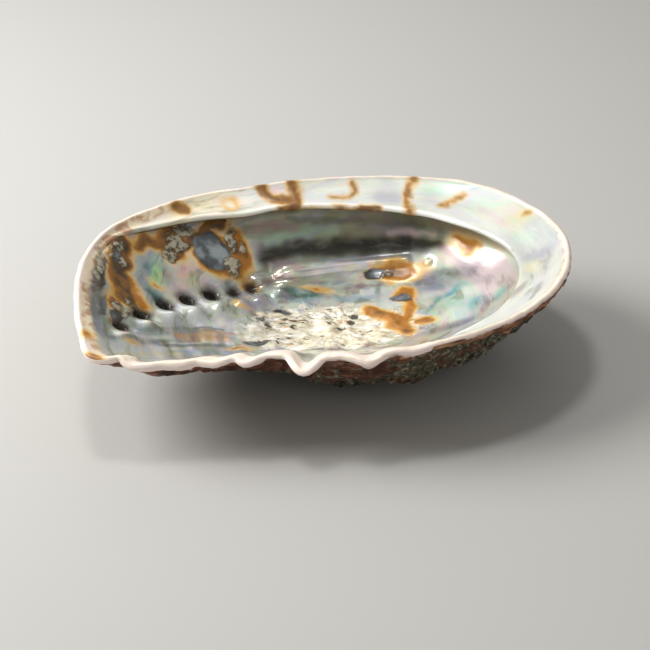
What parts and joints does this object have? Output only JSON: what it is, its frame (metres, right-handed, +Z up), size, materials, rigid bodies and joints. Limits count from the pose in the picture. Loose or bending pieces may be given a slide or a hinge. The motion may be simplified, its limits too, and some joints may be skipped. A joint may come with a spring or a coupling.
{
  "type": "abalone shell",
  "caption": "Ear-shaped sea shell lying on its back: a shallow pearly bowl with a wide inner shelf, a scalloped lip, a row of breathing holes and a rough outside.",
  "frame": {"origin": "under the middle of the shell's outline, on the surface that it rests on", "axes": "+X along the shell's length towards the spire end, +Y towards the side of the shelf, +Z up out of the bowl"},
  "size_m": [0.1758, 0.1268, 0.0425],
  "materials": {
    "shell": "iridescent mother-of-pearl inside, rough brick red and grey-olive outside"
  },
  "bodies": {
    "root": {"shell": "shell"}
  },
  "joints": []
}
